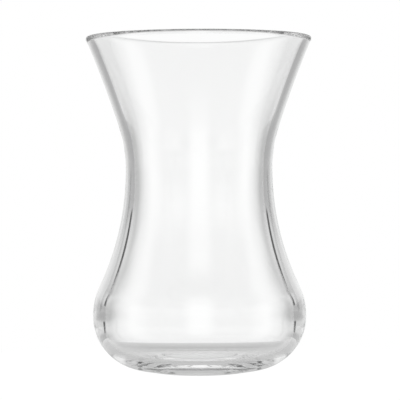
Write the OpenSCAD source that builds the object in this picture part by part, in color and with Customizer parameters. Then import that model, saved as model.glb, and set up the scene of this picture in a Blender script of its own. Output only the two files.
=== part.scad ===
// Waisted tea glass: one piece of clear pressed glass, turned about the Z axis.
// The origin is the centre of the circle that the glass stands on. All sizes are in millimetres.

/* [Rim] */
// Overall height, from the table to the top of the lip
height = 89; // [84:0.5:110]
// Outside diameter of the lip
rim_d = 59.8; // [54:0.2:76]
// Thickness of the fire-polished lip
lip_thickness = 2.3; // [1.6:0.1:2.8]
// Radius of the lip's round on the outside; the rest of its thickness is a wider round inside
lip_outside_round = 0.8; // [0.5:0.05:1]
// Radius of the long gentle curve by which the mouth flares out to the lip
mouth_curve = 305; // [150:5:500]

/* [Waist] */
// Outside diameter at the narrowest place
waist_d = 38.9; // [32:0.1:46]
// Height of the narrowest place above the table
waist_height = 53.8; // [46:0.2:58]
// Radius of the hollow curve from the waist up to the mouth
flare_curve = 36; // [25:1:50]

/* [Belly] */
// Outside diameter at the widest place of the belly
belly_d = 56.6; // [50:0.1:70]
// Height of the widest place above the table
belly_height = 15; // [14:0.1:18]
// Radius of the round shoulder above the widest place
shoulder_curve = 18.5; // [14:0.1:22]
// Height of the lowest point of the round under the widest place, which a cone joins to the foot
bowl_lift = 0.6; // [0.2:0.1:1.6]

/* [Inside] */
// Thickness of the wall at the waist
waist_wall = 2.3; // [1.2:0.1:3.2]
// Length of the straight neck inside, which reaches down from the waist
neck_length = 3.6; // [0:0.2:6]
// Radius of the curve inside from the waist up to the mouth
inside_flare_curve = 40; // [25:1:50]
// Thickness of the wall at the widest place of the belly
belly_wall = 3.2; // [2:0.1:4]
// Radius of the shoulder inside the belly
inside_shoulder_curve = 12; // [9:0.5:16]
// How much higher the widest place is inside than outside
inside_belly_rise = 1; // [0.4:0.1:2.5]
// Radius of the round between the floor inside and the wall
inside_bowl_curve = 9; // [6:0.1:10]

/* [Base] */
// Thickness of the glass between the table and the floor inside
base_thickness = 4; // [3:0.1:6]
// Outside diameter of the flat ring that the glass stands on
foot_d = 23; // [21:0.2:26]
// Diameter of the hollow under the base, inside that ring
recess_d = 20.2; // [12:0.2:22]
// Depth of that hollow at its edge
recess_depth = 1.15; // [0.4:0.05:1.4]
// How much deeper the hollow is at its middle, where it is domed
recess_dome = 0.35; // [0.2:0.05:0.8]
// Slope of the hollow's edge, from upright
recess_draft = 10; // [5:5:50]

/* [Hidden] */
// Greatest distance between a curve and the straight chords that stand for it
chord_error = 0.012;
// Facets around the turned surface, where it is shown as a mesh
round_facets = 180;

lip_inside_round = lip_thickness - lip_outside_round;
lip_centre = [rim_d / 2 - lip_outside_round, height - lip_outside_round];
lip_inside_centre = [rim_d / 2 - lip_outside_round, height - lip_inside_round];
bowl_curve = belly_height - bowl_lift;
foot_r = foot_d / 2;
recess_r = recess_d / 2;
dome_r = recess_r - recess_depth * tan(recess_draft);
dome_curve = (dome_r * dome_r + recess_dome * recess_dome) / (2 * recess_dome);
dome_half_angle = asin(dome_r / dome_curve);
dome_centre = [0, recess_depth + recess_dome - dome_curve];

// Points of an arc, by its centre, its radius and two angles in degrees.
// A radius below 0 makes the hollow side of a curve whose centre lies across the wall.
function arc(centre, radius, from, to) =
    let (chord_angle = 2 * acos(1 - chord_error / abs(radius)))
    let (chords = ceil(abs(to - from) / chord_angle))
    [for (i = [0 : chords])
        let (angle = from + (to - from) * i / chords)
        centre + radius * [cos(angle), sin(angle)]];

// Radius of the hollow curve that leaves the waist upright and meets the shoulder below it.
function hip_curve(waist_point, shoulder_centre, shoulder) =
    let (across = waist_point - shoulder_centre)
    (across * across - shoulder * shoulder) / (2 * (shoulder - across[0]));

// Centre of a wide hollow curve that takes over from the one above the waist and runs into the lip.
// The three centres make a triangle whose sides are all known.
function mouth_centre(flare_centre, flare, lip_at, lip_round) =
    let (across = lip_at - flare_centre)
    let (to_flare = mouth_curve - flare)
    let (to_lip = mouth_curve + lip_round)
    let (square_sum = to_flare * to_flare + across * across - to_lip * to_lip)
    let (corner = acos(square_sum / (2 * to_flare * norm(across))))
    let (lean = atan2(across[1], across[0]) - corner)
    flare_centre + to_flare * [cos(lean), sin(lean)];

// Direction from one point to another, in degrees.
function direction(from, to) = atan2(to[1] - from[1], to[0] - from[0]);

// Side of the glass, from the widest place of the belly up to the lip: a round shoulder, the hollow
// curve below the waist, a straight neck, the curve above the waist, and the long curve of the mouth,
// which runs into the lip's own round.
function side(belly_r, widest, shoulder, waist_r, neck, flare, lip_at, lip_round) =
    let (shoulder_centre = [belly_r - shoulder, widest])
    let (neck_foot = [waist_r, waist_height - neck])
    let (hip = hip_curve(neck_foot, shoulder_centre, shoulder))
    let (hip_centre = neck_foot + [hip, 0])
    let (flare_centre = [waist_r + flare, waist_height])
    let (far_centre = mouth_centre(flare_centre, flare, lip_at, lip_round))
    let (hip_angle = direction(shoulder_centre, hip_centre))
    let (flare_angle = direction(flare_centre, far_centre))
    let (lip_lean = direction(lip_at, far_centre))
    concat(
        arc(shoulder_centre, shoulder, 0, hip_angle),
        arc(hip_centre, -hip, hip_angle, 0),
        arc(flare_centre, -flare, 0, flare_angle),
        arc(far_centre, -mouth_curve, flare_angle, lip_lean));

// Round under the widest place, from where the cone that rises from the foot touches it.
function bowl(foot, centre, radius) =
    arc(centre, radius, direction(centre, foot) + acos(radius / norm(foot - centre)), 0);

// The same points in the opposite order.
function reversed(points) = [for (i = [len(points) - 1 : -1 : 0]) points[i]];

// The same points with each one that repeats the point before it left out.
function without_repeats(points) =
    [for (i = [0 : len(points) - 1])
        if (i == 0 || norm(points[i] - points[i - 1]) > chord_error)
            points[i]];

// Half of the glass cut through its axis: X is the distance from the axis and Y is the height.
module section() {
    belly_r = belly_d / 2;
    waist_r = waist_d / 2;
    inside_belly_r = belly_r - belly_wall;
    inside_waist_r = waist_r - waist_wall;
    bowl_centre = [belly_r - bowl_curve, belly_height];
    floor_centre = [inside_belly_r - inside_bowl_curve, base_thickness + inside_bowl_curve];
    outside = side(
        belly_r, belly_height, shoulder_curve,
        waist_r, 0, flare_curve, lip_centre, lip_outside_round);
    inside = side(
        inside_belly_r, belly_height + inside_belly_rise, inside_shoulder_curve,
        inside_waist_r, neck_length, inside_flare_curve, lip_inside_centre, -lip_inside_round);
    lip_from = direction(lip_centre, outside[len(outside) - 1]);
    lip_to = direction(lip_inside_centre, inside[len(inside) - 1]);
    polygon(without_repeats(concat(
        reversed(arc(dome_centre, dome_curve, 90 - dome_half_angle, 90)),
        [[recess_r, 0], [foot_r, 0]],
        bowl([foot_r, 0], bowl_centre, bowl_curve),
        outside,
        arc(lip_centre, lip_outside_round, lip_from, 0),
        arc(lip_centre, lip_outside_round, 0, 90),
        arc(lip_inside_centre, lip_inside_round, 90, lip_to),
        reversed(inside),
        reversed(arc(floor_centre, inside_bowl_curve, -90, 0)),
        [[0, base_thickness]])));
}

// The glass itself, in one piece.
module glass() {
    color([0.86, 0.93, 0.92, 0.4])
        rotate_extrude($fn = round_facets)
            section();
}

glass();
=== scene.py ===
import math

import bpy
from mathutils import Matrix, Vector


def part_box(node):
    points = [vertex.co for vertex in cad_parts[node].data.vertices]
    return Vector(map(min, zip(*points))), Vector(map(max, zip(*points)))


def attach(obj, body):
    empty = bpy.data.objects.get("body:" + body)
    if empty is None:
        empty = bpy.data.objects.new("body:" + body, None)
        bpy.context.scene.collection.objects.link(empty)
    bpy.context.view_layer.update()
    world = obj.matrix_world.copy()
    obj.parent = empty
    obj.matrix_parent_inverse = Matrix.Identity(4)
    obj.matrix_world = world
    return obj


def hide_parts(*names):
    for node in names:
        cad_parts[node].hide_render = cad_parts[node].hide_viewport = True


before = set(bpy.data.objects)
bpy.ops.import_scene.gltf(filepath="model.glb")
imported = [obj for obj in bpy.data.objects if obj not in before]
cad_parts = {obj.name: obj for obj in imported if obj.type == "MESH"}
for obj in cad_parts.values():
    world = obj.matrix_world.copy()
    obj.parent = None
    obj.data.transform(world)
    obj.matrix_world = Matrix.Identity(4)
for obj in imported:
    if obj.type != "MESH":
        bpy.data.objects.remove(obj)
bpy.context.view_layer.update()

MM = 0.001

# ---------------------------------------------------------------------------------------------
# The glass. One piece of clear soda-lime glass, pressed and blown in a mould, then fire-polished
# at the lip, so the lip is round and the skin is smooth. The wall is thickest round the belly, and
# the thick base has a shallow hollow inside the ring that it stands on.
# ---------------------------------------------------------------------------------------------

# Sizes in millimetres: the outside from the lip down, then the inside, then the base. The mesh
# stays a hair inside the box of the CAD solid.
under_box_top = 0.01
within_box_side = 0.02
glass_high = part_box("glass")[1]
height = glass_high.z / MM - under_box_top
rim_r = glass_high.x / MM - within_box_side
lip_r = 0.8
lip_inside_r = 1.5
mouth_curve = 305
flare_curve = 36
waist_r = 19.45
waist_z = 53.8
belly_r = 28.3
belly_z = 15
shoulder_curve = 18.5
bowl_curve = 14.4
waist_wall = 2.3
neck = 3.6
inside_flare_curve = 40
belly_wall = 3.2
inside_shoulder_curve = 12
in_belly_z = 16
in_bowl_r = 9
floor_z = 4
foot_r = 11.5
ring_round = 0.35
recess_r = 10.1
recess_depth = 1.15
recess_dome = 0.35
recess_slope = math.radians(10)
recess_round = 0.3
recess_set_back = 0.25


def wide_mouth(flare_centre, flare, wide, lip_centre, lip_round):
    """Centre of the wide curve that runs from the curve above the waist into the lip."""
    across = (lip_centre[0] - flare_centre[0], lip_centre[1] - flare_centre[1])
    reach = math.hypot(*across)
    to_flare = wide - flare
    to_lip = wide + lip_round
    corner = math.acos((to_flare ** 2 + reach ** 2 - to_lip ** 2) / (2 * to_flare * reach))
    lean = math.atan2(across[1], across[0]) - corner
    return (flare_centre[0] + to_flare * math.cos(lean), flare_centre[1] + to_flare * math.sin(lean))


def hip_between(waist_point, shoulder_centre, shoulder):
    """Radius of the hollow curve that leaves the waist upright and meets the shoulder below it."""
    across = (waist_point[0] - shoulder_centre[0], waist_point[1] - shoulder_centre[1])
    return (across[0] ** 2 + across[1] ** 2 - shoulder ** 2) / (2 * (shoulder - across[0]))


def straight_between(a, b):
    """Angle of the outward side of the straight that touches two rounds (r, z, radius)."""
    across = (b[0] - a[0], b[1] - a[1])
    share = (a[2] - b[2]) / math.hypot(*across)
    return math.atan2(across[1], across[0]) - math.acos(max(-1, min(1, share)))


in_waist_r = waist_r - waist_wall
in_belly_r = belly_r - belly_wall
lip_centre = (rim_r - lip_r, height - lip_r)
lip_in_centre = (lip_centre[0], height - lip_inside_r)
flare_centre = (waist_r + flare_curve, waist_z)
in_flare_centre = (in_waist_r + inside_flare_curve, waist_z)
mouth_centre = wide_mouth(flare_centre, flare_curve, mouth_curve, lip_centre, lip_r)
in_mouth_centre = wide_mouth(
    in_flare_centre, inside_flare_curve, mouth_curve, lip_in_centre, -lip_inside_r
)
hip_curve = hip_between((waist_r, waist_z), (belly_r - shoulder_curve, belly_z), shoulder_curve)
in_hip_curve = hip_between(
    (in_waist_r, waist_z - neck), (in_belly_r - inside_shoulder_curve, in_belly_z), inside_shoulder_curve
)
dome_r = recess_r - recess_depth * math.tan(recess_slope)
dome_curve = (dome_r ** 2 + recess_dome ** 2) / (2 * recess_dome)
dome_top = recess_depth + recess_dome

# (distance from the axis, height, radius) of each round that the outline runs over, from the
# middle of the underside, round the outside, over the lip and down to the floor inside. A radius
# below 0 is a hollow, which has its centre on the side of the air.
rounds = [
    (0, dome_top - dome_curve, -dome_curve),
    (dome_r - recess_set_back, recess_depth - recess_set_back, -recess_round),
    (recess_r + recess_set_back, ring_round, ring_round),
    (foot_r, ring_round, ring_round),
    (belly_r - bowl_curve, belly_z, bowl_curve),
    (belly_r - shoulder_curve, belly_z, shoulder_curve),
    (waist_r + hip_curve, waist_z, -hip_curve),
    (*flare_centre, -flare_curve),
    (*mouth_centre, -mouth_curve),
    (*lip_centre, lip_r),
    (*lip_in_centre, lip_inside_r),
    (*in_mouth_centre, mouth_curve),
    (*in_flare_centre, inside_flare_curve),
    (in_waist_r + in_hip_curve, waist_z - neck, in_hip_curve),
    (in_belly_r - inside_shoulder_curve, in_belly_z, -inside_shoulder_curve),
    (in_belly_r - in_bowl_r, floor_z + in_bowl_r, -in_bowl_r),
]

# The outline starts as one point at the middle of the underside.
bpy.ops.object.select_all(action="DESELECT")
bpy.ops.mesh.primitive_plane_add(size=MM, location=(0, 0, dome_top * MM))
glass = bpy.context.object
glass.name = "tea_glass"
bpy.ops.object.transform_apply(location=True, rotation=True, scale=True)
bpy.ops.object.mode_set(mode="EDIT")
bpy.ops.mesh.merge(type="CENTER")


def run_straight_to(at_r, at_z, here):
    """Draws the outline on by a straight stretch."""
    step = ((at_r - here[0]) * MM, 0, (at_z - here[1]) * MM)
    bpy.ops.mesh.extrude_region_move(TRANSFORM_OT_translate={"value": step})
    return (at_r, at_z)


# A round is drawn in steps of at most 3 degrees, and of at most 2.5 mm on a wide curve.
step_turn = math.radians(3)
step_length = 2.5
least_straight = 0.01
least_turn = 0.0001
here = (0, dome_top)
facing = math.radians(-90)
for number, (centre_r, centre_z, radius) in enumerate(rounds):
    if number + 1 < len(rounds):
        leaving = straight_between(rounds[number], rounds[number + 1])
    else:
        leaving = math.radians(90)
    begin = (centre_r + radius * math.cos(facing), centre_z + radius * math.sin(facing))
    if math.hypot(begin[0] - here[0], begin[1] - here[1]) > least_straight:
        here = run_straight_to(*begin, here)
    turn = (leaving - facing + math.pi) % (2 * math.pi) - math.pi
    steps = max(2, math.ceil(abs(turn) / step_turn), math.ceil(abs(turn * radius) / step_length))
    if abs(turn) > least_turn:
        bpy.ops.mesh.spin(
            steps=steps, angle=turn, center=(centre_r * MM, 0, centre_z * MM), axis=(0, 1, 0)
        )
    facing = leaving
    here = (centre_r + radius * math.cos(facing), centre_z + radius * math.sin(facing))
run_straight_to(0, floor_z, here)

# The outline is turned round the axis, and the seam and the two middles are closed.
seam = 0.000001
segments_round = 256
bpy.ops.mesh.select_all(action="SELECT")
bpy.ops.mesh.remove_doubles(threshold=seam)
bpy.ops.mesh.spin(steps=segments_round, angle=2 * math.pi, center=(0, 0, 0), axis=(0, 0, 1))
bpy.ops.mesh.select_all(action="SELECT")
bpy.ops.mesh.remove_doubles(threshold=seam)
bpy.ops.mesh.normals_make_consistent(inside=False)
bpy.ops.object.mode_set(mode="OBJECT")
bpy.ops.object.shade_smooth()

clear = bpy.data.materials.new("clear_glass")
clear.use_nodes = True
glass_nodes = clear.node_tree.nodes
glass_links = clear.node_tree.links
glass_shader = glass_nodes["Principled BSDF"]
glass_shader.inputs["Base Color"].default_value = (0.998, 1, 0.999, 1)
glass_shader.inputs["Transmission Weight"].default_value = 1
glass_shader.inputs["IOR"].default_value = 1.52
place = glass_nodes.new("ShaderNodeTexCoord")
# Broad, shallow waves that the polishing flame leaves in the skin.
waves = glass_nodes.new("ShaderNodeTexNoise")
waves.inputs["Scale"].default_value = 45
waves.inputs["Detail"].default_value = 1.5
glass_links.new(place.outputs["Object"], waves.inputs["Vector"])
ripple = glass_nodes.new("ShaderNodeBump")
ripple.inputs["Strength"].default_value = 0.5
ripple.inputs["Distance"].default_value = 0.000015
glass_links.new(waves.outputs["Fac"], ripple.inputs["Height"])
# Fine grain of the mould, left low on the glass, where the flame doesn't reach.
grain = glass_nodes.new("ShaderNodeTexNoise")
grain.inputs["Scale"].default_value = 900
grain.inputs["Detail"].default_value = 3
glass_links.new(place.outputs["Object"], grain.inputs["Vector"])
heights = glass_nodes.new("ShaderNodeSeparateXYZ")
glass_links.new(place.outputs["Object"], heights.inputs["Vector"])
low_down = glass_nodes.new("ShaderNodeMapRange")
low_down.inputs["From Min"].default_value = 0.012
low_down.inputs["From Max"].default_value = 0.0
low_down.inputs["To Max"].default_value = 0.000002
glass_links.new(heights.outputs["Z"], low_down.inputs["Value"])
mould_skin = glass_nodes.new("ShaderNodeBump")
mould_skin.inputs["Strength"].default_value = 0.3
glass_links.new(low_down.outputs["Result"], mould_skin.inputs["Distance"])
glass_links.new(grain.outputs["Fac"], mould_skin.inputs["Height"])
glass_links.new(ripple.outputs["Normal"], mould_skin.inputs["Normal"])
glass_links.new(mould_skin.outputs["Normal"], glass_shader.inputs["Normal"])
# Faint cloudy film that washing leaves, so that the shine isn't quite even.
film = glass_nodes.new("ShaderNodeTexNoise")
film.inputs["Scale"].default_value = 120
film.inputs["Detail"].default_value = 6
glass_links.new(place.outputs["Object"], film.inputs["Vector"])
film_shine = glass_nodes.new("ShaderNodeMapRange")
film_shine.inputs["From Min"].default_value = 0.45
film_shine.inputs["From Max"].default_value = 0.75
film_shine.inputs["To Max"].default_value = 0.012
glass_links.new(film.outputs["Fac"], film_shine.inputs["Value"])
glass_links.new(film_shine.outputs["Result"], glass_shader.inputs["Roughness"])
glass.data.materials.append(clear)
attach(glass, "root")
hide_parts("glass")

# ---------------------------------------------------------------------------------------------
# The floor: a round sheet of plain matt white paper that glows evenly, as if lit from below, so that it
# takes hardly any shadow of its own. The shade round the foot is painted. It isn't part of the glass.
# ---------------------------------------------------------------------------------------------
sheet_r = 0.085
painted_shade_r = 0.03
bpy.ops.object.select_all(action="DESELECT")
bpy.ops.mesh.primitive_circle_add(vertices=128, radius=sheet_r, fill_type="NGON", location=(0, 0, 0))
sheet = bpy.context.object
sheet.name = "floor"
paper = bpy.data.materials.new("white_paper")
paper.use_nodes = True
paper_nodes = paper.node_tree.nodes
paper_links = paper.node_tree.links
paper_shader = paper_nodes["Principled BSDF"]
paper_shader.inputs["Base Color"].default_value = (0.1, 0.1, 0.1, 1)
paper_shader.inputs["Roughness"].default_value = 1
paper_shader.inputs["Specular IOR Level"].default_value = 0
paper_shader.inputs["Emission Color"].default_value = (1, 1, 1, 1)
# The sheet glows plain white where it is seen past the glass, and greyer where it is seen through or in
# the glass, most of all close to the foot. This grey is painted shade, standing in for the glass's
# shadow on the sheet.
spot = paper_nodes.new("ShaderNodeTexCoord")
from_axis = paper_nodes.new("ShaderNodeVectorMath")
from_axis.operation = "LENGTH"
paper_links.new(spot.outputs["Object"], from_axis.inputs[0])
# Painted shade: darkest within a few centimetres of the axis, lighter towards the sheet's edge.
painted_shade = paper_nodes.new("ShaderNodeMapRange")
painted_shade.inputs["From Min"].default_value = painted_shade_r
painted_shade.inputs["From Max"].default_value = sheet_r
painted_shade.inputs["To Min"].default_value = 0.54
painted_shade.inputs["To Max"].default_value = 0.74
paper_links.new(from_axis.outputs["Value"], painted_shade.inputs["Value"])
sight = paper_nodes.new("ShaderNodeLightPath")
brightness = paper_nodes.new("ShaderNodeMapRange")
brightness.inputs["To Max"].default_value = 1.0
paper_links.new(sight.outputs["Is Camera Ray"], brightness.inputs["Value"])
paper_links.new(painted_shade.outputs["Result"], brightness.inputs["To Min"])
paper_links.new(brightness.outputs["Result"], paper_shader.inputs["Emission Strength"])
sheet.data.materials.append(paper)

# ---------------------------------------------------------------------------------------------
# The light: a big soft white wall on each of four sides that falls off to grey between them, an
# unlit ceiling, and a narrow dark gap at each of the four corners. It is all in the world's
# background, which is plain white where it is seen past the glass.
# ---------------------------------------------------------------------------------------------
studio = bpy.data.worlds.new("studio")
bpy.context.scene.world = studio
studio.use_nodes = True
studio_nodes = studio.node_tree.nodes
studio_links = studio.node_tree.links
studio_nodes.clear()


def maths(operation, a, b=None):
    """Adds one maths node, fed by numbers or by other nodes."""
    node = studio_nodes.new("ShaderNodeMath")
    node.operation = operation
    for socket, value in zip(node.inputs, (a, b)):
        if isinstance(value, (int, float)):
            socket.default_value = value
        elif value is not None:
            studio_links.new(value, socket)
    return node.outputs[0]


def fade(value, start, end, low, high):
    """Runs smoothly from one level to another; the levels may be numbers or other nodes."""
    node = studio_nodes.new("ShaderNodeMapRange")
    node.interpolation_type = "SMOOTHSTEP"
    studio_links.new(value, node.inputs["Value"])
    for name, level in zip(("From Min", "From Max", "To Min", "To Max"), (start, end, low, high)):
        if isinstance(level, (int, float)):
            node.inputs[name].default_value = level
        else:
            studio_links.new(level, node.inputs[name])
    return node.outputs["Result"]


# The way looked in, as an arrow of length 1: z is 0 on the level, and y is above 0 away from the
# camera. The two angles are how far it is, seen from above, from the middle of the nearest wall
# and from the nearest corner.
coord = studio_nodes.new("ShaderNodeTexCoord")
split = studio_nodes.new("ShaderNodeSeparateXYZ")
studio_links.new(coord.outputs["Generated"], split.inputs["Vector"])
x, y, z = split.outputs["X"], split.outputs["Y"], split.outputs["Z"]
bearing = maths("ARCTAN2", maths("ABSOLUTE", x), maths("ABSOLUTE", y))
from_corner = maths("ABSOLUTE", maths("SUBTRACT", bearing, math.radians(45)))
from_wall = maths("SUBTRACT", math.radians(45), from_corner)

# The walls, and the grey between them, which is lightest just above the level and dark higher up.
between = fade(z, 0.18, 0.38, fade(z, -0.04, 0.06, 0.42, 0.66), 0.25)
walls = fade(from_wall, math.radians(6), math.radians(25), 1.0, between)

# Below the sheet's edge the white is softer, in eight stretches, with an even grey underneath.
nearest = maths("MINIMUM", from_wall, from_corner)
low_walls = fade(nearest, math.radians(7), math.radians(22), 0.96, 0.58)
lower = fade(z, -0.26, -0.2, low_walls, walls)
lowest = fade(z, -0.5, -0.36, 0.75, lower)

# The unlit ceiling.
all_round = fade(z, 0.56, 0.72, lowest, 0.06)

# The gap at each corner, from the level up to just below the ceiling. It is nearly black on the
# far side of the glass and only grey on the camera's side.
gap = fade(from_wall, math.radians(41.6), math.radians(43), 0, 1)
gap_low = fade(z, -0.02, 0.03, 0, 1)
gap_high = fade(z, 0.42, 0.55, 1, 0)
dark = maths("MULTIPLY", gap, maths("MULTIPLY", gap_low, gap_high))
gap_level = fade(y, -0.1, 0.1, 0.4, 0.02)
level = fade(dark, 0, 1, all_round, gap_level)

path = studio_nodes.new("ShaderNodeLightPath")
seen = fade(path.outputs["Is Camera Ray"], 0, 1, level, 1.0)
background = studio_nodes.new("ShaderNodeBackground")
studio_links.new(seen, background.inputs["Color"])
out = studio_nodes.new("ShaderNodeOutputWorld")
studio_links.new(background.outputs["Background"], out.inputs["Surface"])

# Light is piped round inside the lip and the base many times before it comes out.
bounces = 96
bpy.context.scene.cycles.max_bounces = bounces
bpy.context.scene.cycles.glossy_bounces = bounces
bpy.context.scene.cycles.transmission_bounces = bounces
bpy.context.scene.view_settings.view_transform = "Standard"

# ---------------------------------------------------------------------------------------------
# The camera: a long lens about half a metre from the glass, almost level with its waist. It looks
# down very slightly and leans by a fraction of a degree.
# ---------------------------------------------------------------------------------------------
camera_x = 0.24
camera_distance = 556
camera_z = 53.15
camera_down = math.radians(0.78)
camera_lean = math.radians(0.223)
view_width = 106.09
bpy.ops.object.camera_add(location=(camera_x * MM, -camera_distance * MM, camera_z * MM))
camera = bpy.context.object
camera.rotation_euler = (math.pi / 2 - camera_down, camera_lean, 0)
camera.data.sensor_width = 36
camera.data.lens = camera.data.sensor_width * camera_distance / view_width
camera.data.clip_start = 0.01
camera.data.clip_end = 20
bpy.context.scene.camera = camera
